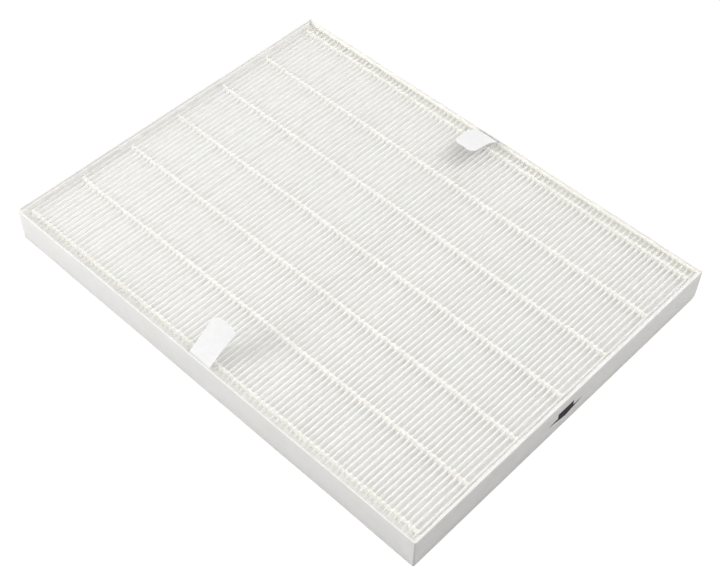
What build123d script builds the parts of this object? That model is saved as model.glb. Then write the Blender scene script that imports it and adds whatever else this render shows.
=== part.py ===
# A pleated air filter panel in a folded nonwoven band
# Millimetres. X runs across the panel, Y along it, Z up through its depth.
# The origin lies under the middle of the panel, on the plane it rests on.

import os
from math import cos, radians, sqrt

from build123d import *

# Outside of the panel
panel_width = 320
panel_length = 416
panel_depth = 31

# Band of stiff nonwoven, folded at three corners and butted at the fourth
band_thickness = 1.2
soft_fold_radius = 2.5
crisp_fold_radius = 1.0
joint_gap = 0.2
joint_corner_radius = 4.5

# Pleated sheet
pleat_count = 93
sheet_thickness = 0.45
pleat_recess = 3.4

# Glue between the sheet and the band
side_seal_thickness = 1.3
side_seal_margin = 1.4
end_film_thickness = 0.3
end_bead_rise = 2.0
end_bead_reach = 1.4
end_bead_drop = 1.6
end_bead_bulge = 0.4

# Hot-melt separators across the pleats
separator_count = 7
separator_inset = 8.8
separator_width = 2.2
separator_skin = 0.35

# Pull tabs, rooted between the long sides and their seals
tab_width = 21
tab_reach = 33
tab_thickness = 0.35
tab_corner_radius = 6
tab_root_depth = 8
tab_bend_radius = 1.5
tab_below_rim = 1.0
left_tab_y = 0.5
left_tab_root_angle = 36
left_tab_tip_angle = 28
right_tab_y = 2.0
right_tab_root_angle = 36
right_tab_tip_angle = -1

# Space inside the band, and what its glue leaves of it for the sheet
inside_width = panel_width - 2 * band_thickness
inside_length = panel_length - 2 * band_thickness
sheet_width = inside_width - 2 * side_seal_thickness
pack_length = inside_length - 2 * end_film_thickness

# Distance between separators, from the two outer ones beside the long sides
separator_spacing = (inside_width - 2 * separator_inset) / (separator_count - 1)

# The folds of the sheet, with half a crest against each short side
half_pitch = pack_length / pleat_count / 2
crest_top = panel_depth - pleat_recess
crest_bottom = pleat_recess
pleat_height = crest_top - crest_bottom


def fold_half_width():
    """Half the flat width of a fold that is as thick as the sheet, between legs as thick too."""
    inner = pleat_height - 3 * sheet_thickness
    outer = pleat_height - sheet_thickness
    return sheet_thickness * (sqrt(half_pitch**2 + inner * outer) - half_pitch) / inner


def fold_line(crest, trough):
    """Zigzag of one surface of the sheet, as (y, z) from the front short side to the back one.

    Crest and trough are each given as (half width, z), and one with no width is a sharp fold.
    """
    points = []
    for fold in range(2 * pleat_count + 1):
        half_width, z = trough if fold % 2 else crest
        y = fold * half_pitch - pack_length / 2
        if half_width and fold > 0:
            points.append((y - half_width, z))
        if fold in (0, 2 * pleat_count) or not half_width:
            points.append((y, z))
        if half_width and fold < 2 * pleat_count:
            points.append((y + half_width, z))
    return points


def point_on_leg(start, end, z):
    """Point at height z on the straight leg from start to end, each given as (y, z)."""
    share = (start[1] - z) / (start[1] - end[1])
    return (start[0] + share * (end[0] - start[0]), z)


upper_surface = fold_line((fold_half_width(), crest_top), (0, crest_bottom + sheet_thickness))
lower_surface = fold_line((0, crest_top - sheet_thickness), (fold_half_width(), crest_bottom))

os.makedirs("parts", exist_ok=True)


def save(builder, label):
    """Name a finished piece and write it to its own file."""
    builder.part.label = label
    export_step(builder.part, f"parts/{label}.step")


def corner(sketch, side, end):
    """Corner of a rectangle on its left (-1) or right (1), at its front (-1) or back (1)."""
    return sketch.vertices().sort_by(lambda vertex: side * vertex.X + end * vertex.Y)[-1]


# Outline of the space inside the band, which is round only at the soft fold
with BuildSketch() as inside:
    Rectangle(inside_width, inside_length)
    fillet(corner(inside, -1, 1), radius=soft_fold_radius - band_thickness)

# Frame band
with BuildPart() as frame_band:
    with BuildSketch() as outside:
        Rectangle(panel_width, panel_length)
        crisp_folds = [corner(outside, -1, -1), corner(outside, 1, 1)]
        fillet(crisp_folds, radius=crisp_fold_radius)
        fillet(corner(outside, -1, 1), radius=soft_fold_radius)
        add(inside.sketch, mode=Mode.SUBTRACT)
    extrude(amount=panel_depth)

    # The right side's end stops short of the front side, which runs out to the corner
    with BuildSketch():
        with Locations(((panel_width - band_thickness) / 2, (joint_gap - inside_length) / 2)):
            Rectangle(band_thickness, joint_gap)
    extrude(amount=panel_depth, mode=Mode.SUBTRACT)

    # Both ends of the strip have a rounded lower corner
    base_edges = frame_band.edges().group_by(Axis.Z)[0]
    front_end = base_edges.filter_by(Axis.Y).sort_by(SortBy.LENGTH)[0]
    side_end = base_edges.filter_by(Axis.X).sort_by(SortBy.LENGTH)[0]
    fillet([front_end, side_end], radius=joint_corner_radius)
save(frame_band, "frame_band")

# Pleated sheet
with BuildPart() as pleated_media:
    with BuildSketch(Plane.YZ.offset(-sheet_width / 2)):
        with BuildLine():
            Polyline(*upper_surface, *reversed(lower_surface), close=True)
        make_face()
    extrude(amount=sheet_width)
save(pleated_media, "pleated_media")


def separator(x, surface, skin_z):
    """Line of hot melt at x that fills the space between a line of (y, z) points and skin_z."""
    front_y = surface[0][0]
    back_y = surface[-1][0]
    with BuildPart() as melt:
        with BuildSketch(Plane.YZ.offset(x - separator_width / 2)):
            with BuildLine():
                Polyline(*surface, (back_y, skin_z), (front_y, skin_z), close=True)
            make_face()
        extrude(amount=separator_width)
    return melt


# Separators, which leave the outermost folds to the glue at the short sides
# An upper one has a tooth in every fold, and a lower one is a plain line over the folds
first_lower_fold = lower_surface[1]
last_lower_fold = lower_surface[-2]
for index in range(separator_count):
    separator_x = (index - (separator_count - 1) / 2) * separator_spacing
    comb = separator(separator_x, upper_surface[3:-3], crest_top + separator_skin)
    save(comb, f"upper_separator_{index + 1}")
    under_folds = [first_lower_fold, last_lower_fold]
    plain_line = separator(separator_x, under_folds, crest_bottom - separator_skin)
    save(plain_line, f"lower_separator_{index + 1}")


def end_adhesive(end):
    """Glue between the front (-1) or back (1) short side and the leg of the sheet beside it."""
    crest, crest_edge, trough = [(-end * y, z) for y, z in upper_surface[:3]]
    under_crest, foot = [(-end * y, z) for y, z in lower_surface[:2]]
    wall_y = end * inside_length / 2
    shoulder = (wall_y, crest_top + end_bead_rise)
    toe = (crest_edge[0] - end * end_bead_reach, crest_top - end_bead_drop)
    with BuildPart() as glue:
        with BuildSketch(Plane.YZ.offset(-sheet_width / 2)):
            with BuildLine():
                Polyline(shoulder, (wall_y, crest_bottom), foot, under_crest, crest)
                Polyline(crest, crest_edge, point_on_leg(crest_edge, trough, toe[1]), toe)
                SagittaArc(toe, shoulder, end * end_bead_bulge)
            make_face()
        extrude(amount=sheet_width)
        with BuildSketch():
            add(inside.sketch)
        extrude(amount=panel_depth, mode=Mode.INTERSECT)
    return glue


save(end_adhesive(-1), "front_end_adhesive")
save(end_adhesive(1), "back_end_adhesive")


def side_seal(side, tab_y):
    """Glue bed between the left (-1) or right (1) side and the pleat ends, open at the tab."""
    wall_x = side * inside_width / 2
    bed_bottom = crest_bottom + side_seal_margin
    bed_height = pleat_height - 2 * side_seal_margin
    with BuildPart() as seal:
        with BuildSketch(Plane.XY.offset(bed_bottom)):
            with Locations((wall_x - side * side_seal_thickness / 2, 0)):
                Rectangle(side_seal_thickness, inside_length)
            add(inside.sketch, mode=Mode.INTERSECT)
        extrude(amount=bed_height)
        with BuildSketch(Plane.XY.offset(panel_depth - tab_root_depth)):
            with Locations((wall_x - side * tab_thickness / 2, tab_y)):
                Rectangle(tab_thickness, tab_width)
        extrude(amount=tab_root_depth, mode=Mode.SUBTRACT)
    return seal


save(side_seal(-1, left_tab_y), "left_side_seal")
save(side_seal(1, right_tab_y), "right_side_seal")


def pull_tab(side, tab_y, root_angle, tip_angle):
    """Tab that rises on the left (-1) or right (1) side, bends inwards and curls to its tip.

    The angles are those of the tab above the horizontal, past the bend and at the tip.
    """
    wall_x = side * inside_width / 2
    root_z = panel_depth - tab_root_depth
    bend_z = panel_depth - tab_below_rim - tab_bend_radius * cos(radians(root_angle))
    curl_radius = tab_reach / radians(root_angle - tip_angle)
    inward = Plane(origin=(wall_x, tab_y, 0), x_dir=(-side, 0, 0), z_dir=(0, side, 0))
    with BuildPart() as tab:
        with BuildLine(inward) as route:
            root = Line((tab_thickness / 2, root_z), (tab_thickness / 2, bend_z))
            bend = JernArc(root @ 1, root % 1, tab_bend_radius, root_angle - 90)
            JernArc(bend @ 1, bend % 1, curl_radius, tip_angle - root_angle)
        with BuildSketch(Plane.XY.offset(root_z)):
            with Locations((wall_x - side * tab_thickness / 2, tab_y)):
                Rectangle(tab_thickness, tab_width)
        sweep(path=route.wire())
        reach = tab.part.bounding_box()
        with BuildSketch() as plan:
            with Locations((reach.center().X, tab_y)):
                Rectangle(reach.size.X, tab_width)
            fillet([corner(plan, -side, -1), corner(plan, -side, 1)], radius=tab_corner_radius)
        extrude(amount=reach.max.Z, mode=Mode.INTERSECT)
    return tab


left_tab = pull_tab(-1, left_tab_y, left_tab_root_angle, left_tab_tip_angle)
save(left_tab, "left_pull_tab")
right_tab = pull_tab(1, right_tab_y, right_tab_root_angle, right_tab_tip_angle)
save(right_tab, "right_pull_tab")
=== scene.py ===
"""A pleated air filter panel in its finished look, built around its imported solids.

Lengths are in metres. X runs across the panel along its folds, Y along the panel and Z up.
"""

from math import cos, pi, radians, sin, sqrt, tau
from random import Random

import bmesh
import bpy
import numpy as np
from bpy.props import FloatProperty, FloatVectorProperty, IntProperty, PointerProperty
from bpy.types import Operator, Panel, PropertyGroup
from mathutils import Matrix, Vector, noise


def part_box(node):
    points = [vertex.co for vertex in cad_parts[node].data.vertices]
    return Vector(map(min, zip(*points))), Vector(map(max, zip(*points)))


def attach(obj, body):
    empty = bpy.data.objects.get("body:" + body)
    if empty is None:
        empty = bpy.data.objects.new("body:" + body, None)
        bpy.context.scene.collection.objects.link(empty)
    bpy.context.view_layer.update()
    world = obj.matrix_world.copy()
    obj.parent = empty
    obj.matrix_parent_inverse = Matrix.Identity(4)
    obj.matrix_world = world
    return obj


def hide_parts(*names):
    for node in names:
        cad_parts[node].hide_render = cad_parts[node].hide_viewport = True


bl_info = {
    "name": "Pleated filter panel",
    "version": (1, 0, 0),
    "blender": (4, 5, 0),
    "location": "3D View > Sidebar > Filter",
    "description": "Builds the sheet, glue, band, tabs and print of a filter panel, and its studio",
    "category": "Object",
}

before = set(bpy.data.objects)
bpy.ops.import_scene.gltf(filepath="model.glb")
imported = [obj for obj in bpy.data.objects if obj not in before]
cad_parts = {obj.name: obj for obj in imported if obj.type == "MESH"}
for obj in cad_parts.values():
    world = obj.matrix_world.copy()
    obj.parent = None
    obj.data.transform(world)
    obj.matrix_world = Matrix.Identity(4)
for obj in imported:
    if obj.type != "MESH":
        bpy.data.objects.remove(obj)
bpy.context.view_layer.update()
band_low, band_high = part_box("frame_band")
sheet_low, sheet_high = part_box("pleated_media")

MM = 0.001
BODY = "root"

# The sheet's end folds are a film of glue away from the band
END_FILM = 0.3 * MM
BAND_THICKNESS = sheet_low.y - band_low.y - END_FILM

WHITE = (1, 1, 1, 1)
BLACK = (0, 0, 0, 1)


# Sizes and colours that a user may change


class FoldSizes(PropertyGroup):
    """Sizes of the pleated sheet and of how unevenly it is folded."""

    pleats: IntProperty(name="Pleats", description="Folds along the panel", default=93, min=3)
    seed: IntProperty(name="Seed", description="Picks another uneven folding", default=4)
    paper: FloatProperty(
        name="Paper", description="Thickness of the sheet", default=0.45 * MM, unit="LENGTH"
    )
    radius: FloatProperty(
        name="Fold radius", description="Radius of a fold at mid paper", default=0.34 * MM, unit="LENGTH"
    )
    scatter: FloatProperty(
        name="Scatter",
        description="How far a single fold is off its place",
        default=0.16 * MM,
        unit="LENGTH",
    )
    drift: FloatProperty(
        name="Drift",
        description="How far a run of folds is off its place",
        default=0.9 * MM,
        unit="LENGTH",
    )
    wave: FloatProperty(
        name="Wave",
        description="How far a fold wanders along its length",
        default=0.1 * MM,
        unit="LENGTH",
    )
    lift: FloatProperty(
        name="Lift", description="How much the folds differ in height", default=0.06 * MM, unit="LENGTH"
    )
    bow: FloatProperty(
        name="Bow",
        description="How far the sheet bows between two folds",
        default=0.03 * MM,
        unit="LENGTH",
    )
    trim: FloatProperty(
        name="Trim",
        description="How unevenly the sheet is cut at its sides",
        default=0.6 * MM,
        unit="LENGTH",
    )


class GlueSizes(PropertyGroup):
    """Sizes of the hot-melt lines and of the glue along the band."""

    line_width: FloatProperty(
        name="Line width", description="Width of a separator line", default=2.2 * MM, unit="LENGTH"
    )
    line_skin: FloatProperty(
        name="Line skin", description="Hot melt on top of a fold", default=0.35 * MM, unit="LENGTH"
    )
    line_dip: FloatProperty(
        name="Line dip",
        description="How deep a line sinks between folds",
        default=0.7 * MM,
        unit="LENGTH",
    )
    line_depth: FloatProperty(
        name="Line depth",
        description="Height of a line between two folds",
        default=3.5 * MM,
        unit="LENGTH",
    )
    bead_rise: FloatProperty(
        name="Bead rise",
        description="End bead above the folds, at the band",
        default=3.2 * MM,
        unit="LENGTH",
    )
    bead_reach: FloatProperty(
        name="Bead reach",
        description="How far an end bead covers the sheet",
        default=2.9 * MM,
        unit="LENGTH",
    )
    bead_bulge: FloatProperty(
        name="Bead bulge", description="How round an end bead is", default=1.0 * MM, unit="LENGTH"
    )
    seal_climb: FloatProperty(
        name="Seal climb",
        description="Glue film left under the rim's edge",
        default=1.2 * MM,
        unit="LENGTH",
    )
    seal_soak: FloatProperty(
        name="Seal soak",
        description="How far glue ran between the folds",
        default=6.6 * MM,
        unit="LENGTH",
    )
    seal_film: FloatProperty(
        name="Seal film", description="Thickness of that glue film", default=0.25 * MM, unit="LENGTH"
    )


class BandSizes(PropertyGroup):
    """Sizes of the folded nonwoven band and of the print on it."""

    edge: FloatProperty(
        name="Edge", description="Rounding of the band's edges", default=0.3 * MM, unit="LENGTH"
    )
    wave: FloatProperty(
        name="Wave", description="How far a side of the band wanders", default=0.2 * MM, unit="LENGTH"
    )
    arrow_span: FloatProperty(
        name="Arrow span", description="Width of the arrow's head", default=38 * MM, unit="LENGTH"
    )
    arrow_height: FloatProperty(
        name="Arrow height",
        description="From the arrow's tail to its tip",
        default=10.2 * MM,
        unit="LENGTH",
    )


class TabSizes(PropertyGroup):
    """Sizes of the two pull tabs."""

    width: FloatProperty(name="Width", description="Width of a tab", default=21 * MM, unit="LENGTH")
    reach: FloatProperty(
        name="Reach", description="Length of a tab past its bend", default=33 * MM, unit="LENGTH"
    )
    thickness: FloatProperty(
        name="Thickness", description="Thickness of a tab", default=0.35 * MM, unit="LENGTH"
    )
    corner: FloatProperty(
        name="Corner", description="Radius of a tab's corners", default=6 * MM, unit="LENGTH"
    )
    left_tip: FloatProperty(
        name="Left tip angle",
        description="Slope of the left tab's tip",
        default=radians(28),
        unit="ROTATION",
    )
    right_tip: FloatProperty(
        name="Right tip angle",
        description="Slope of the right tab's tip",
        default=radians(-1),
        unit="ROTATION",
    )


class FinishColours(PropertyGroup):
    """Colours of the panel's materials."""

    band: FloatVectorProperty(
        name="Band", description="Pressed nonwoven", subtype="COLOR", default=(0.80, 0.792, 0.775)
    )
    paper: FloatVectorProperty(
        name="Paper", description="Filter paper", subtype="COLOR", default=(0.992, 0.99, 0.982)
    )
    # Painted shade: the paper's colour on its folds, darker to tone down the light that falls on them
    crests: FloatVectorProperty(
        name="Crests", description="Paper on its folds", subtype="COLOR", default=(0.925, 0.92, 0.907)
    )
    melt: FloatVectorProperty(
        name="Hot melt", description="Separator lines", subtype="COLOR", default=(0.99, 0.984, 0.968)
    )
    seal: FloatVectorProperty(
        name="Seal",
        description="Glue along the long sides",
        subtype="COLOR",
        default=(0.98, 0.972, 0.948),
    )
    bead: FloatVectorProperty(
        name="Bead",
        description="Glue along the short sides",
        subtype="COLOR",
        default=(0.975, 0.97, 0.96),
    )
    tab: FloatVectorProperty(
        name="Tab", description="Pull tabs", subtype="COLOR", default=(0.985, 0.985, 0.985)
    )
    ink: FloatVectorProperty(
        name="Ink", description="Printed arrow", subtype="COLOR", default=(0.018, 0.016, 0.024)
    )


class StudioSettings(PropertyGroup):
    """Light levels of the studio."""

    sky: FloatProperty(name="Sky", description="Light from all round", default=0.34, min=0)
    key: FloatProperty(
        name="Key", description="Softbox high on the right", default=88, unit="POWER", min=0
    )
    front: FloatProperty(
        name="Front", description="Large softbox over the camera", default=20, unit="POWER", min=0
    )
    fill: FloatProperty(
        name="Fill", description="Softbox behind on the left", default=17.5, unit="POWER", min=0
    )
    edge: FloatProperty(
        name="Edge", description="Small lamp near the front corner", default=1.1, unit="POWER", min=0
    )


# Shader maths as Python expressions


class Field:
    """A number or colour that varies over a surface, wrapping the socket that gives it."""

    def __init__(self, nodes, socket):
        self.nodes = nodes
        self.socket = socket

    def math(self, operation, *values):
        inputs = dict(enumerate((self, *values)))
        return self.nodes.field("ShaderNodeMath", {"operation": operation}, inputs)

    def __add__(self, other):
        return self.math("ADD", other)

    __radd__ = __add__

    def __sub__(self, other):
        return self.math("SUBTRACT", other)

    def __rsub__(self, other):
        inputs = {0: other, 1: self}
        return self.nodes.field("ShaderNodeMath", {"operation": "SUBTRACT"}, inputs)

    def __mul__(self, other):
        return self.math("MULTIPLY", other)

    __rmul__ = __mul__

    def clamped(self):
        return self.nodes.field("ShaderNodeClamp", {}, {0: self})

    def between(self, low, high):
        """0 where this is at or under low, 1 at or over high, and smooth between."""
        settings = {"interpolation_type": "SMOOTHSTEP"}
        return self.nodes.field("ShaderNodeMapRange", settings, {0: self, 1: low, 2: high})

    def mix(self, low_colour, high_colour):
        """The first colour where this is 0 and the second where it is 1."""
        # A mix node keeps its colour sockets behind those for numbers and vectors
        inputs = {0: self, 6: low_colour, 7: high_colour}
        return self.nodes.field("ShaderNodeMix", {"data_type": "RGBA"}, inputs, output=2)


class Nodes:
    """A node tree that is filled from the shader expressions."""

    def __init__(self, tree):
        self.tree = tree
        tree.nodes.clear()

    def node(self, kind, settings=None, inputs=None):
        """New node of a kind, with its settings made first and then its sockets set or linked."""
        node = self.tree.nodes.new(kind)
        for setting, value in (settings or {}).items():
            setattr(node, setting, value)
        for key, value in (inputs or {}).items():
            if isinstance(value, Field):
                self.tree.links.new(value.socket, node.inputs[key])
            else:
                node.inputs[key].default_value = value
        return node

    def field(self, kind, settings=None, inputs=None, output=0):
        """One output of a new node."""
        return Field(self, self.node(kind, settings, inputs).outputs[output])

    def place(self):
        """Where the surface is, in metres in the panel's frame."""
        return self.field("ShaderNodeTexCoord", output="Object")

    def height(self):
        """How high over the floor the surface is, in metres."""
        return self.field("ShaderNodeSeparateXYZ", {}, {0: self.place()}, output=2)

    def grain(self, size, detail=3.0, distortion=0.0, stretch=(1, 1, 1)):
        """Even noise from 0 to 1 whose spots are about as large as size, stretched along the axes."""
        scaled = self.field(
            "ShaderNodeVectorMath",
            {"operation": "MULTIPLY"},
            {0: self.place(), 1: tuple(1 / share for share in stretch)},
        )
        inputs = {"Vector": scaled, "Scale": 1 / size, "Detail": detail, "Distortion": distortion}
        return self.field("ShaderNodeTexNoise", {}, inputs)

    def bump(self, height, depth, strength=1.0):
        """Normals of a surface with that relief, as deep as depth in metres."""
        inputs = {"Height": height, "Distance": depth, "Strength": strength}
        return self.field("ShaderNodeBump", {}, inputs)


def rgba(colour, factor=1.0):
    """A property's colour with an alpha, made lighter or darker by the factor."""
    return (*(min(1.0, channel * factor) for channel in colour), 1.0)


def new_finish(name, shader_inputs, glow_through=0.0):
    """Material whose shader takes the inputs that the given function makes from its nodes.

    The share glow_through of the light is spread on the far side of the surface instead.
    """
    material = bpy.data.materials.new(name)
    material.use_nodes = True
    nodes = Nodes(material.node_tree)
    inputs = shader_inputs(nodes)
    shader = nodes.field("ShaderNodeBsdfPrincipled", {}, inputs)
    if glow_through:
        spread = {"Color": inputs["Base Color"], "Normal": inputs["Normal"]}
        through = nodes.field("ShaderNodeBsdfTranslucent", {}, spread)
        shader = nodes.field("ShaderNodeMixShader", {}, {0: glow_through, 1: shader, 2: through})
    nodes.node("ShaderNodeOutputMaterial", {}, {"Surface": shader})
    return material


def pressed_nonwoven(colour):
    """Stiff white felt of short fibres, pressed flat, with denser patches, and painted light on its top
    edge where light from above falls.
    """
    highlight_top = 0.2 * MM
    highlight_foot = 0.6 * MM

    def inputs(nodes):
        fibres = nodes.grain(0.5 * MM, detail=5.0, distortion=2.2)
        streaks = nodes.grain(1.4 * MM, distortion=1.5, stretch=(3, 3, 0.6))
        patches = nodes.grain(14 * MM, detail=2.0)
        tone = (0.4 * fibres + 0.3 * streaks + 0.3 * patches).between(0.3, 0.7)
        face = tone.mix(rgba(colour, 0.955), rgba(colour, 1.035))
        # Painted highlight: the band's top edge is made lighter, standing for the light that falls on it
        # from above
        rim_highlight_mask = nodes.height().between(band_high.z - highlight_foot, band_high.z - highlight_top)
        return {
            "Base Color": rim_highlight_mask.mix(face, rgba(colour, 1.2)),
            "Roughness": 0.78 + 0.2 * fibres,
            "Normal": nodes.bump(fibres + 0.7 * streaks, 0.12 * MM),
            "Subsurface Weight": 0.15,
            "Subsurface Radius": (1.0, 0.95, 0.85),
            "Subsurface Scale": 1.2 * MM,
            "Specular IOR Level": 0.25,
        }

    return new_finish("pressed_nonwoven", inputs)


def filter_paper(colour, crest_shade_colour):
    """Soft glass-fibre paper that light shines through, with painted shade on its folds that tones down
    the light falling on them.

    Its faint glow between the folds stands for the light of the bounces that aren't traced.
    """
    crest_shade_depth = (0.5 * MM, 1.3 * MM)
    glow_depth = (3 * MM, 11 * MM)

    def inputs(nodes):
        fibres = nodes.grain(0.4 * MM, detail=6.0, distortion=1.8)
        clouds = nodes.grain(5 * MM)
        tone = (0.55 * fibres + 0.45 * clouds).between(0.25, 0.75)
        height = nodes.height()
        from_top = sheet_high.z - height
        from_bottom = height - sheet_low.z
        # Painted shade: the paper on the folds is made darker, against the light that falls on them
        crest_shade_mask = 2 - from_top.between(*crest_shade_depth) - from_bottom.between(*crest_shade_depth)
        between_folds = from_top.between(*glow_depth) * from_bottom.between(*glow_depth)
        unshaded_paper = tone.mix(rgba(colour, 0.98), rgba(colour, 1.015))
        return {
            "Base Color": crest_shade_mask.mix(unshaded_paper, rgba(crest_shade_colour)),
            "Roughness": 0.85 + 0.15 * clouds,
            "Emission Color": between_folds.mix(BLACK, rgba(colour)),
            "Emission Strength": 0.34,
            "Normal": nodes.bump(fibres + 0.5 * clouds, 0.02 * MM),
            "Specular IOR Level": 0.15,
        }

    return new_finish("filter_paper", inputs, glow_through=0.8)


def hot_melt(name, colour, cloudiness, gloss, glow_through):
    """Milky glue that set while it ran, smooth in places and dull in others.

    Its faint glow stands for the light of the bounces that aren't traced.
    """

    def inputs(nodes):
        flow = nodes.grain(2.2 * MM, distortion=0.8)
        pits = nodes.grain(0.5 * MM, detail=2.0)
        tone = (0.7 * flow + 0.3 * pits).between(0.3, 0.7)
        return {
            "Base Color": tone.mix(rgba(colour, 1 - cloudiness), rgba(colour, 1 + cloudiness)),
            "Roughness": 1 - gloss + 0.3 * flow,
            "Normal": nodes.bump(flow + 0.35 * pits, 0.15 * MM),
            "Emission Color": rgba(colour),
            "Emission Strength": 0.14,
            "Specular IOR Level": 0.35,
        }

    return new_finish(name, inputs, glow_through)


def tab_nonwoven(colour):
    """Thin limp nonwoven with rows of pressed bonding points."""
    bond_spacing = 1.3 * MM

    def inputs(nodes):
        fibres = nodes.grain(0.45 * MM, detail=5.0, distortion=2.4)
        clouds = nodes.grain(4 * MM)
        cells = nodes.field(
            "ShaderNodeTexVoronoi",
            {},
            {"Vector": nodes.place(), "Scale": 1 / bond_spacing, "Randomness": 0.15},
        )
        bonds = 1 - cells.between(0.18, 0.34)
        tone = (0.5 * fibres + 0.5 * clouds - 0.25 * bonds).between(0.15, 0.7)
        return {
            "Base Color": tone.mix(rgba(colour, 0.95), rgba(colour, 1.03)),
            "Roughness": 0.7 + 0.25 * fibres - 0.15 * bonds,
            "Normal": nodes.bump(fibres - bonds, 0.08 * MM),
            "Subsurface Weight": 0.1,
            "Subsurface Radius": (1.0, 1.0, 0.97),
            "Subsurface Scale": 1.0 * MM,
            "Specular IOR Level": 0.25,
        }

    return new_finish("tab_nonwoven", inputs, glow_through=0.15)


def printing_ink(colour):
    """Near-black ink that sank unevenly into the fibres of the band."""

    def inputs(nodes):
        fibres = nodes.grain(0.5 * MM, detail=4.0, distortion=2.0)
        speckle = fibres.between(0.62, 0.8)
        return {
            "Base Color": speckle.mix(rgba(colour), rgba(colour, 3.0)),
            "Roughness": 0.5 + 0.3 * fibres,
            "Normal": nodes.bump(fibres, 0.06 * MM),
            "Specular IOR Level": 0.3,
        }

    return new_finish("printing_ink", inputs)


# Meshes


def ring_solid(name, rings, crease_angle=50):
    """Closed mesh through equal rings of points.

    Point i of a ring lies across from the ring's i-th last point, and its two ends are closed
    with faces between such points.
    """
    rings = np.asarray(rings, float)
    count, around = rings.shape[:2]
    faces = []
    for first in range(0, (count - 1) * around, around):
        for point in range(around):
            following = (point + 1) % around
            across = first + around
            faces.append((first + point, first + following, across + following, across + point))
    for first in (0, (count - 1) * around):
        for point in range(around // 2 - 1):
            opposite = first + around - 1 - point
            faces.append((first + point, first + point + 1, opposite - 1, opposite))
    mesh = bpy.data.meshes.new(name)
    mesh.from_pydata(rings.reshape(-1, 3).tolist(), [], faces)
    surface = bmesh.new()
    surface.from_mesh(mesh)
    bmesh.ops.recalc_face_normals(surface, faces=surface.faces)
    surface.to_mesh(mesh)
    surface.free()
    mesh.shade_smooth()
    mesh.set_sharp_from_angle(angle=radians(crease_angle))
    piece = bpy.data.objects.new(name, mesh)
    bpy.context.scene.collection.objects.link(piece)
    return piece


def dress(piece, slot, material, *nodes):
    """Give a piece its finish and set it on the panel in place of the named solids."""
    piece.data.materials.append(material)
    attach(piece, BODY)
    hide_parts(*nodes)


def wander(place, length, size, *channels):
    """Smooth noise along a line, about as large as size, that changes over length.

    Each sum of channels gives another such noise, from another line through the same one.
    """
    channel = sum(channels)
    spot = Vector((place / length, 7.31 * channel, 3.17 + channel))
    return 2 * size * noise.noise(spot)


def ease(share):
    """Smooth step from 0 to 1."""
    share = min(1.0, max(0.0, share))
    return share * share * (3 - 2 * share)


class Folding:
    """The folded sheet, as uneven as the real one, at any place across the panel."""

    # How far a fold turns to each side of its middle, and in how many steps
    turn = radians(76)
    arc_steps = 2

    # Shares of a leg at which the sheet may bow
    leg_points = (0.33, 0.67)

    # Folds near a short side that stay close to their places, and folds in one run of drift
    quiet_folds = 4
    drift_folds = 22

    # Length along a fold over which each of its noises changes, and the first channel of each
    wave_length = 60 * MM
    wave_channel = 1
    lift_length = 30 * MM
    lift_channel = 500
    bow_length = 26 * MM
    bow_channel = 900

    def __init__(self, sizes):
        self.sizes = sizes
        self.last = 2 * sizes.pleats
        chance = Random(sizes.seed)
        folds = range(self.last + 1)
        self.nudges = [chance.gauss(0, sizes.scatter) for _ in folds]
        self.lifts = [chance.gauss(0, sizes.lift) for _ in folds]
        self.left_trims = [chance.random() * sizes.trim for _ in folds]
        self.right_trims = [chance.random() * sizes.trim for _ in folds]

    def middles(self, x):
        """Place (y, z) of the outside of each fold at x, where folds 0, 2, 4 are crests."""
        sizes = self.sizes
        spread = sheet_high.y - sheet_low.y
        middles = []
        for fold in range(self.last + 1):
            freedom = ease(min(fold, self.last - fold) / self.quiet_folds)
            off = self.nudges[fold] + wander(fold, self.drift_folds, sizes.drift)
            off += wander(x, self.wave_length, sizes.wave, self.wave_channel + fold)
            y = sheet_low.y + spread * fold / self.last + freedom * off
            height = self.lifts[fold]
            height += wander(x, self.lift_length, sizes.lift, self.lift_channel + fold)
            outside, inward = (sheet_low.z, 1) if fold % 2 else (sheet_high.z, -1)
            middles.append((y, outside + inward * max(0, freedom * height)))
        return middles

    def line(self, x):
        """Middle line (y, z) of the paper at x, from the front short side to the back one."""
        sizes = self.sizes
        arc = np.linspace(-self.turn, self.turn, 2 * self.arc_steps + 1)
        points = []
        for fold, (y, outside) in enumerate(self.middles(x)):
            up = -1 if fold % 2 else 1
            top = outside - up * sizes.paper / 2
            bend = [
                (y + sizes.radius * sin(angle), top - up * sizes.radius * (1 - cos(angle)))
                for angle in arc
                if not (fold == 0 and angle < 0) and not (fold == self.last and angle > 0)
            ]
            if points:
                bow = wander(x, self.bow_length, sizes.bow, self.bow_channel + fold)
                (y0, z0), (y1, z1) = points[-1], bend[0]
                for share in self.leg_points:
                    points.append((y0 + share * (y1 - y0) + bow, z0 + share * (z1 - z0)))
            points.extend(bend)
        return np.array(points)

    def skins(self, x):
        """Upper and lower surface (y, z) of the paper at x."""
        line = self.line(x)
        along = np.gradient(line, axis=0)
        across = np.stack((-along[:, 1], along[:, 0]), 1)
        across *= self.sizes.paper / 2 / np.linalg.norm(along, axis=1)[:, None]
        return line + across, line - across

    def ends(self):
        """How far the paper is cut short on the left and on the right, at each point of its line."""
        folds = np.arange(self.last + 1)
        per_fold = 2 * self.arc_steps + 1 + len(self.leg_points)
        places = np.arange(self.last * per_fold + 1) / per_fold
        return [np.interp(places, folds, trims) for trims in (self.left_trims, self.right_trims)]


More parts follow.
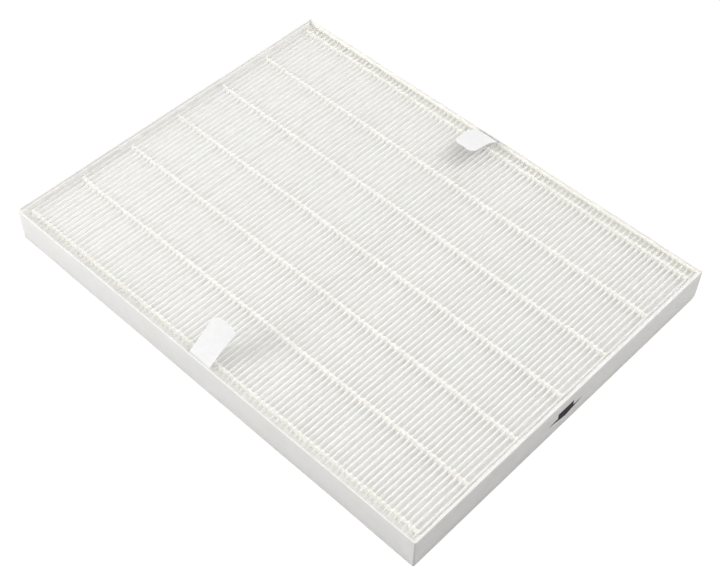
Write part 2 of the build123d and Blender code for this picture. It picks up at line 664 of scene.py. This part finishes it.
class FILTER_OT_pleated_sheet(Operator):
    """Fold the filter paper and set it between the sides of the band"""

    bl_idname = "filter_panel.pleated_sheet"
    bl_label = "Pleated sheet"

    # Sections across the sheet, and how much closer they lie to the long sides
    stations = 33
    crowding = 0.6
    crease_angle = 70

    def execute(self, context):
        folding = Folding(context.scene.filter_folds)
        left_trim, right_trim = folding.ends()
        left = sheet_low.x + left_trim
        right = sheet_high.x - right_trim
        rings = []
        for station in range(self.stations):
            share = station / (self.stations - 1)
            share -= self.crowding * sin(tau * share) / tau
            x = sheet_low.x + share * (sheet_high.x - sheet_low.x)
            upper, lower = folding.skins(x)
            across = left + share * (right - left)
            top, bottom = (np.column_stack((across, skin)) for skin in (upper, lower))
            rings.append(np.concatenate((top, bottom[::-1])))
        sheet = ring_solid("pleated_sheet", rings, self.crease_angle)
        colours = context.scene.filter_colours
        dress(sheet, "filter_paper", filter_paper(colours.paper, colours.crests), "pleated_media")
        return {"FINISHED"}


# Hot melt and glue


class FILTER_OT_separators(Operator):
    """Lay the hot-melt separator lines across the folds of both faces"""

    bl_idname = "filter_panel.separators"
    bl_label = "Separators"

    steps_per_fold = 12
    arc_points = 6
    sunk_in_paper = 0.2 * MM
    swell_on_folds = 0.14

    # Sizes of a section, and the share of the line's depth that each may have at most
    round_top = (0.65 * MM, 0.8)
    foot_width = (1.3 * MM, 0.4)
    foot_place = (3.2 * MM, 0.95)

    # Length, size and channel of each noise along a line
    dip_noise = (5 * MM, 0.35, 0)
    width_noise = (3 * MM, 0.22, 9)
    path_noise = (45 * MM, 0.3 * MM, 4)

    def execute(self, context):
        folding = Folding(context.scene.filter_folds)
        glue = context.scene.filter_glue
        colour = context.scene.filter_colours.melt
        material = hot_melt("hot_melt", colour, cloudiness=0.01, gloss=0.45, glow_through=0.8)
        for face, side in (("upper", 1), ("lower", -1)):
            nodes = [name for name in sorted(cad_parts) if name.startswith(f"{face}_separator")]
            for channel, node in enumerate(nodes):
                low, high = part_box(node)
                rings = self.rings(folding, glue, (low.x + high.x) / 2, side, channel)
                line = ring_solid(f"{node}_line", rings)
                dress(line, "hot_melt", material, node)
        return {"FINISHED"}

    def rings(self, folding, glue, x, side, channel):
        """Rings of the hot melt at x, on the folds of the upper (1) or lower (-1) face."""
        first_fold = 2 if side > 0 else 1
        middles = folding.middles(x)[first_fold : folding.last - 1 : 2]
        paper = folding.skins(x)[0 if side > 0 else 1]
        rings = []
        for (y0, z0), (y1, z1) in zip(middles, middles[1:]):
            for step in range(self.steps_per_fold):
                share = step / self.steps_per_fold
                y = y0 + share * (y1 - y0)
                dip = glue.line_dip * sin(pi * share) ** 2 * (1 + wander(y, *self.dip_noise, channel))
                top = z0 + share * (z1 - z0) + side * (glue.line_skin - dip)
                root = np.interp(y, paper[:, 0], paper[:, 1]) - side * self.sunk_in_paper
                depth = min(glue.line_depth, abs(top - root))
                swell = 1 + self.swell_on_folds * cos(tau * share)
                swell += wander(y, *self.width_noise, channel)
                middle = x + wander(y, *self.path_noise, channel)
                rings.append(self.ring(middle, y, top, side, glue.line_width / 2 * swell, depth))
        return rings

    def ring(self, middle, y, top, side, half, depth):
        """The line's outline at y, round on top and wider where it sank between the folds."""
        limits = (self.round_top, self.foot_width, self.foot_place)
        cap, widening, foot_depth = (min(size, share * depth) for size, share in limits)
        root = top - side * depth
        foot = top - side * foot_depth
        wide = half + widening
        ring = [(middle + wide, y, root), (middle + wide, y, foot)]
        for angle in np.linspace(0, pi, self.arc_points):
            ring.append((middle + half * cos(angle), y, top - side * cap * (1 - sin(angle))))
        ring += [(middle - wide, y, foot), (middle - wide, y, root)]
        return ring


class FILTER_OT_side_seals(Operator):
    """Run the glue between the long sides and the cut edges of the sheet"""

    bl_idname = "filter_panel.side_seals"
    bl_label = "Side seals"

    step = 1.5 * MM
    tab_gap = 2 * MM

    def execute(self, context):
        colour = context.scene.filter_colours.seal
        material = hot_melt("seal_glue", colour, cloudiness=0.015, gloss=0.35, glow_through=0.6)
        for side, word in ((-1, "left"), (1, "right")):
            node = f"{word}_side_seal"
            low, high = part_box(node)
            tab_low, tab_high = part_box(f"{word}_pull_tab")
            section = SealSection(context.scene.filter_glue, side, low, high)
            rings = []
            for y in np.linspace(low.y, high.y, int((high.y - low.y) / self.step) + 1):
                before_tab = ease((tab_low.y - y) / self.tab_gap)
                past_tab = ease((y - tab_high.y) / self.tab_gap)
                rings.append(section.ring(y, before_tab + past_tab))
            seal = ring_solid(f"{node}_glue", rings)
            dress(seal, "seal_glue", material, node)
        return {"FINISHED"}


class SealSection:
    """Outline of the glue along one long side, at any place along the panel."""

    # The bed lies under its solid's top, and rises towards the panel's corners
    bed_drop = 0.4 * MM
    corner_length = 6 * MM
    corner_lift = 2.0 * MM

    # The film on the wall thins out upwards from a fillet at the bed
    film_waist = 0.35
    film_shoulder = 0.2 * MM
    fillet = 0.7 * MM

    # The glue slopes down from the bed's inner edge, and is narrow at its root
    bed_edge = 1.6 * MM
    root_width = 0.6 * MM
    root_height = 2.2 * MM

    # Length, size and channel of each noise along the seal
    bed_noise = (4 * MM, 0.4 * MM, 0)
    film_noise = (9 * MM, 0.5 * MM, 3)
    soak_noise = (3 * MM, 0.8 * MM, 6)
    root_noise = (4 * MM, 0.4 * MM, 8)

    def __init__(self, glue, side, low, high):
        self.glue = glue
        self.side = side
        self.low = low
        self.high = high
        self.wall, self.edge = (low.x, high.x) if side < 0 else (high.x, low.x)

    def ring(self, y, film_share):
        """The outline at y, where film_share of the film's height is left on the wall."""
        glue, side, wall, low, high = self.glue, self.side, self.wall, self.low, self.high
        corner = 1 - ease(min(y - low.y, high.y - y) / self.corner_length)
        bed = high.z - self.bed_drop + self.corner_lift * corner + wander(y, *self.bed_noise, side)
        climb = band_high.z - glue.seal_climb + wander(y, *self.film_noise, side) - bed
        film_top = bed + climb * film_share
        inner = self.edge - side * (glue.seal_soak + wander(y, *self.soak_noise, side))
        film = wall - side * glue.seal_film
        root = low.z + wander(y, *self.root_noise, side)
        return [
            (wall, y, low.z),
            (wall, y, (low.z + high.z) / 2),
            (wall, y, film_top),
            (film, y, film_top - self.film_shoulder * film_share),
            (film - side * self.film_shoulder, y, bed + self.film_waist * climb * film_share),
            (film - side * self.fillet, y, bed + self.film_shoulder),
            ((self.edge + inner) / 2, y, bed),
            (inner, y, bed - self.bed_edge),
            (inner, y, low.z + self.root_height),
            (wall - side * self.root_width, y, root),
        ]


class FILTER_OT_end_beads(Operator):
    """Fill the short sides with glue that runs over the first and last fold"""

    bl_idname = "filter_panel.end_beads"
    bl_label = "End beads"

    step = 1.5 * MM

    # Shares of the full bead that are there: at the front's left end and at the back
    thin_share = 0.75
    thin_length = 80 * MM
    back_share = 0.32

    # The bead's toe lies lower the farther it reaches, and the glue ends over the sheet's foot
    toe_lift = 0.2 * MM
    toe_slope = 0.35
    arc_points = (0.3, 0.6, 0.85)
    foot = 0.4 * MM

    # Length, size and channel of each noise along the bead
    rise_noise = (12 * MM, 0.2 * MM, 0)
    reach_noise = (16 * MM, 0.4 * MM, 3)
    toe_noise = (4 * MM, 0.15 * MM, 5)

    def execute(self, context):
        colour = context.scene.filter_colours.bead
        material = hot_melt("bead_glue", colour, cloudiness=0.02, gloss=0.4, glow_through=0.5)
        folds = context.scene.filter_folds
        half_pitch = (sheet_high.y - sheet_low.y) / folds.pleats / 2
        for end, word in ((-1, "front"), (1, "back")):
            node = f"{word}_end_adhesive"
            low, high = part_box(node)
            wall = low.y if end < 0 else high.y
            rings = []
            for x in np.linspace(low.x, high.x, int((high.x - low.x) / self.step) + 1):
                from_left = ease((x - low.x) / self.thin_length)
                front_share = self.thin_share + (1 - self.thin_share) * from_left
                share = front_share if end < 0 else self.back_share
                ring = self.over_fold(context.scene.filter_glue, end, wall, x, share)
                ring.append((x, wall - end * half_pitch, sheet_low.z + self.foot))
                rings.append(ring)
            bead = ring_solid(f"{node}_bead", rings)
            dress(bead, "hot_melt", material, node)
        return {"FINISHED"}

    def over_fold(self, glue, end, wall, x, share):
        """The bead's outline at x up the wall and down over the fold, at a share of its full size."""
        rise = share * glue.bead_rise - abs(wander(x, *self.rise_noise, end))
        reach = share * glue.bead_reach + wander(x, *self.reach_noise, end)
        reach += wander(x, *self.toe_noise, end)
        crest = sheet_high.z
        top = crest + rise
        toe_y = wall - end * reach
        toe_z = crest + self.toe_lift - self.toe_slope * reach
        ring = [(x, wall, sheet_low.z), (x, wall, (sheet_low.z + crest) / 2), (x, wall, top)]
        for part in self.arc_points:
            bulge = glue.bead_bulge * sin(pi * part)
            ring.append((x, wall + part * (toe_y - wall), top + part * (toe_z - top) + bulge))
        ring.append((x, toe_y, toe_z))
        return ring


# Band


class BandRoute:
    """Middle line of the band, from the right side's front end by the back round to the front."""

    half = BAND_THICKNESS / 2
    joint_gap = 0.2 * MM
    crisp_radius = 0.62 * MM
    soft_radius = 1.9 * MM
    arc_steps = 6
    step = 6 * MM

    # Distances from a corner at which the band has sections close together
    crowded = (0, 0.4 * MM, 2 * MM, 5 * MM)

    # The band hardly sways near a corner, and not at all where the arrow is printed
    calm_length = 30 * MM
    printed_side = 3

    def __init__(self):
        right, back = band_high.x - self.half, band_high.y - self.half
        left, front = band_low.x + self.half, band_low.y + self.half
        self.start = Vector((right, front + self.half + self.joint_gap))
        self.turns = [
            (Vector((right, back)), self.crisp_radius),
            (Vector((left, back)), self.soft_radius),
            (Vector((left, front)), self.crisp_radius),
            (Vector((right + self.half, front)), 0),
        ]

    def places(self, length, first):
        """Distances along a straight side, crowded at its ends."""
        steps = max(2, int(length / self.step))
        inset = self.crowded[-1]
        places = list(self.crowded[:-1]) if first else [0]
        places += [inset + (length - 2 * inset) * step / steps for step in range(steps + 1)]
        places += [length - place for place in self.crowded[-2::-1]]
        return places

    def stations(self):
        """Places on the middle line, each with its outward direction and its freedom to sway."""
        stations = []
        here = self.start
        heading = (self.turns[0][0] - here).normalized()
        for index, (target, radius) in enumerate(self.turns):
            length = (target - heading * radius - here).length
            outward = Vector((heading.y, -heading.x))
            for place in self.places(length, index == 0):
                freedom = ease(place / self.calm_length) * ease((length - place) / self.calm_length)
                if index == self.printed_side:
                    freedom = 0
                stations.append((here + heading * place, outward, freedom))
            if radius:
                following = (self.turns[index + 1][0] - target).normalized()
                centre = target - heading * radius - outward * radius
                for step in range(1, self.arc_steps):
                    angle = pi / 2 * step / self.arc_steps
                    direction = outward * cos(angle) + heading * sin(angle)
                    stations.append((centre + direction * radius, direction, 0))
                here = target + following * radius
                heading = following
        return stations


class FILTER_OT_band(Operator):
    """Fold the nonwoven band round the panel"""

    bl_idname = "filter_panel.band"
    bl_label = "Band"

    crease_angle = 40
    end_radius = 4.5 * MM

    # Length, size and channel of the rim's noise, and the sway's channel, which shifts with z
    rim_noise = (26 * MM, 0.12 * MM, 2)
    sway_length = 70 * MM
    sway_channel = 5
    sway_shift = 40

    # Shares of the edge's rounding and of the side's height at which a section has points
    cut_share = 0.3
    face_points = (0.3, 0.55, 0.8)

    def execute(self, context):
        sizes = context.scene.filter_band
        stations = BandRoute().stations()
        lengths = [0.0]
        for (here, _, _), (following, _, _) in zip(stations, stations[1:]):
            lengths.append(lengths[-1] + (following - here).length)
        rings = []
        for (middle, outward, freedom), length in zip(stations, lengths):
            from_end = min(length, lengths[-1] - length)
            ring = []
            for off, z in self.section(sizes.edge, length, from_end):
                channel = self.sway_channel + self.sway_shift * z
                sway = freedom * wander(length, self.sway_length, sizes.wave, channel)
                place = middle + outward * (off + sway)
                ring.append((place.x, place.y, z))
            rings.append(ring)
        band = ring_solid("folded_band", rings, self.crease_angle)
        material = pressed_nonwoven(context.scene.filter_colours.band)
        dress(band, "band_nonwoven", material, "frame_band")
        return {"FINISHED"}

    def section(self, edge, length, from_end):
        """The band's section (outward, z) at a length from its start and from its nearer end."""
        radius = self.end_radius
        short_of = max(0.0, radius - from_end)
        low = band_low.z + radius - sqrt(radius**2 - short_of**2)
        high = band_high.z - abs(wander(length, *self.rim_noise))
        half = BAND_THICKNESS / 2
        cut = self.cut_share * edge
        outside = [(half - edge, low), (half - cut, low + cut), (half, low + edge)]
        outside += [(half, low + share * (high - low)) for share in self.face_points]
        outside += [(half, high - edge), (half - cut, high - cut), (half - edge, high)]
        return outside + [(-off, z) for off, z in reversed(outside)]


# Pull tabs and print


class FILTER_OT_pull_tabs(Operator):
    """Bend the two tabs that lift the panel out"""

    bl_idname = "filter_panel.pull_tabs"
    bl_label = "Pull tabs"

    root_depth = 8 * MM
    root_angle = radians(36)
    bend_radius = 1.5 * MM
    below_rim = 1.0 * MM
    bend_steps = 5
    straight_steps = 24
    corner_steps = 10
    columns = 11
    tip_half_width = 0.3 * MM

    # How far the tab's edges hang down, how far it twists and how deep its creases are
    cup = 0.5 * MM
    twists = {"left": radians(9), "right": radians(1)}
    creases = {"left": 0.35 * MM, "right": 0.08 * MM}

    # The creases run across the tab, begin soon past its bend and fade towards its tip
    crease_length = 2.2 * MM
    crease_change = 0.8
    crease_start = 8
    crease_seed = 5

    def execute(self, context):
        sizes = context.scene.filter_tabs
        material = tab_nonwoven(context.scene.filter_colours.tab)
        for side, word, tip_angle in ((-1, "left", sizes.left_tip), (1, "right", sizes.right_tip)):
            rings = self.rings(sizes, side, word, tip_angle)
            tab = ring_solid(f"{word}_tab", rings)
            dress(tab, "tab_nonwoven", material, f"{word}_pull_tab")
        return {"FINISHED"}

    def route(self, sizes, tip_angle):
        """Line of the tab as (distance from the wall, z, slope), up the wall, over and inwards."""
        off = sizes.thickness / 2
        low = band_high.z - self.root_depth
        bend_z = band_high.z - self.below_rim - self.bend_radius * cos(self.root_angle)
        points = [(off, low, pi / 2), (off, (low + bend_z) / 2, pi / 2)]
        centre = off + self.bend_radius
        for slope in np.linspace(pi / 2, self.root_angle, self.bend_steps + 1):
            u = centre - self.bend_radius * sin(slope)
            points.append((u, bend_z + self.bend_radius * cos(slope), slope))
        start_u, start_z, _ = points[-1]
        curl = sizes.reach / (self.root_angle - tip_angle)
        straight = sizes.reach - sizes.corner
        places = [straight * step / self.straight_steps for step in range(1, self.straight_steps + 1)]
        for step in range(1, self.corner_steps + 1):
            places.append(straight + sizes.corner * sin(pi / 2 * step / self.corner_steps))
        for place in places:
            slope = self.root_angle - place / curl
            u = start_u + curl * (sin(self.root_angle) - sin(slope))
            z = start_z - curl * (cos(self.root_angle) - cos(slope))
            points.append((u, z, slope))
        return points

    def rings(self, sizes, side, word, tip_angle):
        """Sections of the tab along its line, narrower where its corners are round."""
        low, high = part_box(f"{word}_pull_tab")
        wall = low.x if side < 0 else high.x
        middle = (low.y + high.y) / 2
        points = self.route(sizes, tip_angle)
        last = len(points) - 1
        bend_end = last - self.straight_steps - self.corner_steps
        rings = []
        for index, (u, z, slope) in enumerate(points):
            past_bend = (index - bend_end) / (last - bend_end)
            rounding = max(0, index - (last - self.corner_steps)) / self.corner_steps
            inset = sizes.corner * (1 - cos(pi / 2 * rounding))
            half = max(self.tip_half_width, sizes.width / 2 - inset)
            turn = self.twists[word] * ease(past_bend)
            normal = Vector((side * sin(slope), 0, cos(slope)))
            across = Vector((0, cos(turn), 0)) + normal * sin(turn)
            centre = Vector((wall - side * u, middle, z))
            upper, lower = [], []
            depth = self.creases[word] * (1 - past_bend) * ease(self.crease_start * past_bend)
            for share in np.linspace(-1, 1, self.columns):
                spot = (u / self.crease_length, self.crease_change * share, self.crease_seed * side)
                rise = depth * noise.noise(Vector(spot)) - self.cup * share**2 * ease(past_bend)
                place = centre + across * (half * share)
                upper.append(tuple(place + normal * (rise + sizes.thickness / 2)))
                lower.append(tuple(place + normal * (rise - sizes.thickness / 2)))
            rings.append(upper + lower[::-1])
        return rings


class FILTER_OT_arrow(Operator):
    """Print the airflow arrow on the front side"""

    bl_idname = "filter_panel.arrow"
    bl_label = "Arrow"

    tail_z = 20.2 * MM
    middle_x = -1.8 * MM

    # The shaft's shares of the arrow's span and height, and the outline of its head
    shaft_width = 0.46
    shaft_length = 0.53
    barb_drop = 0.4 * MM
    blunt = 0.5 * MM

    # How far the ink stands out of the band, and in it
    film = 0.02 * MM

    def execute(self, context):
        sizes = context.scene.filter_band
        half_span = sizes.arrow_span / 2
        shaft = self.shaft_width * half_span
        neck = self.tail_z - self.shaft_length * sizes.arrow_height
        tip = self.tail_z - sizes.arrow_height
        outline = [(-shaft, self.tail_z), (-shaft, neck)]
        outline += [(-half_span, neck - self.barb_drop), (-self.blunt, tip)]
        outline += [(-x, z) for x, z in reversed(outline)]
        rings = []
        for y in (band_low.y + self.film, band_low.y - self.film):
            rings.append([(self.middle_x + x, y, z) for x, z in outline])
        arrow = ring_solid("printed_arrow", rings)
        arrow.data.materials.append(printing_ink(context.scene.filter_colours.ink))
        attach(arrow, BODY)
        return {"FINISHED"}


# Studio


class FILTER_OT_studio(Operator):
    """Set up the floor, the light and the camera"""

    bl_idname = "filter_panel.studio"
    bl_label = "Studio"

    # Where the photograph was taken from, and the directions that are right and up in it
    camera_place = (-0.50105, -0.47253, 0.81089)
    camera_right = (0.69179, -0.72199, 0.01225)
    camera_up = (0.55368, 0.54126, 0.63283)
    lens = 68.35
    sensor = 36.0

    floor_size = 6.0
    floor_grey = (0.55, 0.55, 0.55, 1)
    floor_plain_share = 0.9
    floor_brightness = 1.1
    bounces = 12

    # Each softbox has a place and a size, and its power in the property with its name
    lamps = (
        ("key", (2.64, -1.06, 2.75), 2.4),
        ("front", (-1.0, -2.2, 3.2), 2.4),
        ("fill", (-1.3, 0.9, 0.6), 0.8),
        ("edge", (0.75, -0.65, 0.12), 0.2),
    )

    def execute(self, context):
        settings = context.scene.filter_studio
        context.scene.view_settings.view_transform = "Standard"
        context.scene.cycles.max_bounces = self.bounces
        context.scene.cycles.diffuse_bounces = self.bounces
        context.scene.cycles.transmission_bounces = self.bounces
        self.world(context.scene, settings.sky)
        self.floor()
        for name, place, size in self.lamps:
            self.softbox(f"{name}_softbox", place, size, getattr(settings, name))
        self.camera(context.scene)
        return {"FINISHED"}

    def world(self, scene, sky):
        """Even light from all round, with plain white behind the panel for the camera."""
        world = bpy.data.worlds.new("studio")
        world.use_nodes = True
        nodes = Nodes(world.node_tree)
        rays = nodes.node("ShaderNodeLightPath")
        seen = Field(nodes, rays.outputs["Is Camera Ray"]) + Field(nodes, rays.outputs["Is Glossy Ray"])
        seen = (seen + Field(nodes, rays.outputs["Is Transmission Ray"])).clamped()
        light = nodes.field("ShaderNodeBackground", {}, {"Color": WHITE, "Strength": sky})
        white = nodes.field("ShaderNodeBackground", {}, {"Color": WHITE, "Strength": 1.0})
        mixed = nodes.field("ShaderNodeMixShader", {}, {0: seen, 1: light, 2: white})
        nodes.node("ShaderNodeOutputWorld", {}, {"Surface": mixed})
        scene.world = world

    def floor(self):
        """Floor that takes the shadows, and looks nearly plain white to the camera."""
        half = self.floor_size / 2
        mesh = bpy.data.meshes.new("floor")
        corners = [(-half, -half, 0), (half, -half, 0), (half, half, 0), (-half, half, 0)]
        mesh.from_pydata(corners, [], [(0, 1, 2, 3)])
        floor = bpy.data.objects.new("floor", mesh)
        bpy.context.scene.collection.objects.link(floor)
        material = bpy.data.materials.new("floor_white")
        material.use_nodes = True
        nodes = Nodes(material.node_tree)
        rays = nodes.node("ShaderNodeLightPath")
        seen = self.floor_plain_share * Field(nodes, rays.outputs["Is Camera Ray"])
        matt = nodes.field("ShaderNodeBsdfDiffuse", {}, {"Color": self.floor_grey})
        glow = {"Color": WHITE, "Strength": self.floor_brightness}
        white = nodes.field("ShaderNodeEmission", {}, glow)
        mixed = nodes.field("ShaderNodeMixShader", {}, {0: seen, 1: matt, 2: white})
        nodes.node("ShaderNodeOutputMaterial", {}, {"Surface": mixed})
        mesh.materials.append(material)

    def softbox(self, name, place, size, power):
        """Square lamp at a place, turned to the middle of the panel."""
        lamp = bpy.data.lights.new(name, "AREA")
        lamp.size = size
        lamp.energy = power
        holder = bpy.data.objects.new(name, lamp)
        holder.location = place
        holder.rotation_euler = (-Vector(place)).to_track_quat("-Z", "Y").to_euler()
        bpy.context.scene.collection.objects.link(holder)

    def camera(self, scene):
        """The camera where the photograph was taken from."""
        camera = bpy.data.cameras.new("camera")
        camera.sensor_width = self.sensor
        camera.lens = self.lens
        holder = bpy.data.objects.new("camera", camera)
        right = Vector(self.camera_right).normalized()
        back = right.cross(Vector(self.camera_up)).normalized()
        up = back.cross(right)
        turn = Matrix((right, up, back)).transposed()
        holder.matrix_world = Matrix.Translation(self.camera_place) @ turn.to_4x4()
        scene.collection.objects.link(holder)
        scene.camera = holder


class FILTER_PT_panel(Panel):
    """Sizes, colours and steps of the filter panel"""

    bl_label = "Filter panel"
    bl_space_type = "VIEW_3D"
    bl_region_type = "UI"
    bl_category = "Filter"

    def draw(self, context):
        for group, _ in GROUPS:
            settings = getattr(context.scene, group)
            box = self.layout.box()
            for name in settings.__annotations__:
                box.prop(settings, name)
        for step in STEPS:
            self.layout.operator(step.bl_idname)


GROUPS = (
    ("filter_folds", FoldSizes),
    ("filter_glue", GlueSizes),
    ("filter_band", BandSizes),
    ("filter_tabs", TabSizes),
    ("filter_colours", FinishColours),
    ("filter_studio", StudioSettings),
)
STEPS = (
    FILTER_OT_pleated_sheet,
    FILTER_OT_separators,
    FILTER_OT_side_seals,
    FILTER_OT_end_beads,
    FILTER_OT_band,
    FILTER_OT_pull_tabs,
    FILTER_OT_arrow,
    FILTER_OT_studio,
)


def register():
    for name, group in GROUPS:
        bpy.utils.register_class(group)
        setattr(bpy.types.Scene, name, PointerProperty(type=group))
    for step in STEPS:
        bpy.utils.register_class(step)
    bpy.utils.register_class(FILTER_PT_panel)


def unregister():
    bpy.utils.unregister_class(FILTER_PT_panel)
    for step in reversed(STEPS):
        bpy.utils.unregister_class(step)
    for name, group in reversed(GROUPS):
        delattr(bpy.types.Scene, name)
        bpy.utils.unregister_class(group)


def main():
    """Build the panel and its studio."""
    register()
    bpy.ops.filter_panel.pleated_sheet()
    bpy.ops.filter_panel.separators()
    bpy.ops.filter_panel.side_seals()
    bpy.ops.filter_panel.end_beads()
    bpy.ops.filter_panel.band()
    bpy.ops.filter_panel.pull_tabs()
    bpy.ops.filter_panel.arrow()
    bpy.ops.filter_panel.studio()


if __name__ == "__main__":
    main()
